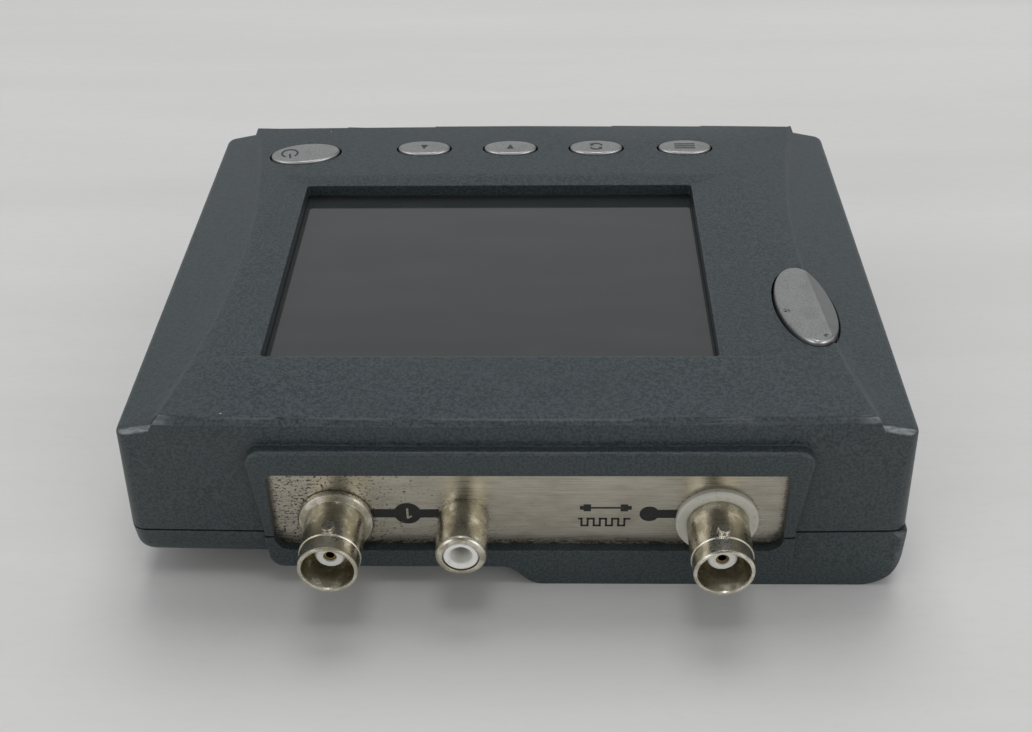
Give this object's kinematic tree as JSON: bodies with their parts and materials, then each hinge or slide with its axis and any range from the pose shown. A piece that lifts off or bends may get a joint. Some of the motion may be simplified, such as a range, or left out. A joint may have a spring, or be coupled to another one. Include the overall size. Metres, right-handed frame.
{
  "type": "hand-held video service monitor",
  "caption": "Hand-held video service monitor with a small recessed screen, oval keys, bayonet and phono sockets on its front face and a battery bulge underneath.",
  "frame": {"origin": "centre of the whole object's plan, at the height of the battery bulge's flat foot", "axes": "+X to the right when facing the connectors, -Y out of the connector face, +Z out of the screen"},
  "size_m": [0.1282, 0.1137, 0.0343],
  "materials": {
    "case": "slate grey satin moulded plastic with a fine spark-eroded grain",
    "plate_steel": "brushed nickel-plated steel, lightly corroded",
    "nickel": "tarnished nickel plating",
    "dielectric": "white plastic, slightly yellowed",
    "washer": "off-white plastic",
    "contact": "tarnished gold-plated brass",
    "foam": "black foam tape",
    "screen": "polished dark window",
    "lcd": "dark glass panel",
    "backlight": "white light box",
    "sheet_metal": "tinned sheet steel",
    "flex": "amber polyimide ribbon",
    "board": "green solder mask",
    "chip": "black epoxy",
    "switch_plastic": "black plastic",
    "silver_key": "satin silver paint over plastic",
    "screw_steel": "zinc-plated steel",
    "cell": "plain battery sleeve",
    "cone": "paper cone",
    "wire": "insulated wire"
  },
  "bodies": {
    "case": {"top_shell": "case", "back_shell": "case", "connector_plate": "plate_steel", "bnc_video_shell": "nickel", "bnc_video_insulator": "dielectric", "bnc_video_contact": "contact", "bnc_video_nut": "nickel", "bnc_test_shell": "nickel", "bnc_test_washer": "washer", "bnc_test_insulator": "dielectric", "bnc_test_contact": "contact", "bnc_test_nut": "nickel", "rca_shell": "nickel", "rca_insulator": "dielectric", "rca_contact": "contact", "rca_nut": "nickel", "screen_gasket": "foam", "screen_window": "screen", "lcd_panel": "lcd", "lcd_backlight": "backlight", "lcd_frame": "sheet_metal", "lcd_flex": "flex", "main_board": "board", "key_board": "board", "board_chips": "chip", "key_switches": "switch_plastic", "thumb_switch": "switch_plastic", "case_screws": "screw_steel", "board_screws": "screw_steel", "battery_cells": "cell", "battery_contacts": "contact", "battery_springs": "screw_steel", "speaker_frame": "sheet_metal", "speaker_cone": "cone", "signal_wires": "wire", "power_wires": "wire"},
    "power_key": {"power_button": "silver_key", "power_plunger": "switch_plastic"},
    "down_key": {"down_button": "silver_key", "down_plunger": "switch_plastic"},
    "up_key": {"up_button": "silver_key", "up_plunger": "switch_plastic"},
    "swap_key": {"swap_button": "silver_key", "swap_plunger": "switch_plastic"},
    "menu_key": {"menu_button": "silver_key", "menu_plunger": "switch_plastic"},
    "thumb_key": {"thumb_button": "silver_key", "thumb_plunger": "switch_plastic"},
    "door": {"battery_door": "case"}
  },
  "joints": [
    {"name": "power_press", "type": "slide", "parent": "case", "child": "power_key", "axis": [0, 0, -1], "range_m": [0, 0.0005], "stiffness_N_per_m": 900, "springref_m": -0.0008},
    {"name": "down_press", "type": "slide", "parent": "case", "child": "down_key", "axis": [0, 0, -1], "range_m": [0, 0.0005], "stiffness_N_per_m": 900, "springref_m": -0.0008},
    {"name": "up_press", "type": "slide", "parent": "case", "child": "up_key", "axis": [0, 0, -1], "range_m": [0, 0.0005], "stiffness_N_per_m": 900, "springref_m": -0.0008},
    {"name": "swap_press", "type": "slide", "parent": "case", "child": "swap_key", "axis": [0, 0, -1], "range_m": [0, 0.0005], "stiffness_N_per_m": 900, "springref_m": -0.0008},
    {"name": "menu_press", "type": "slide", "parent": "case", "child": "menu_key", "axis": [0, 0, -1], "range_m": [0, 0.0005], "stiffness_N_per_m": 900, "springref_m": -0.0008},
    {"name": "thumb_press", "type": "slide", "parent": "case", "child": "thumb_key", "axis": [0, 0, -1], "range_m": [0, 0.0006], "stiffness_N_per_m": 900, "springref_m": -0.0008},
    {"name": "door_slide", "type": "slide", "parent": "case", "child": "door", "axis": [1, 0, 0], "range_m": [0, 0.05]}
  ]
}
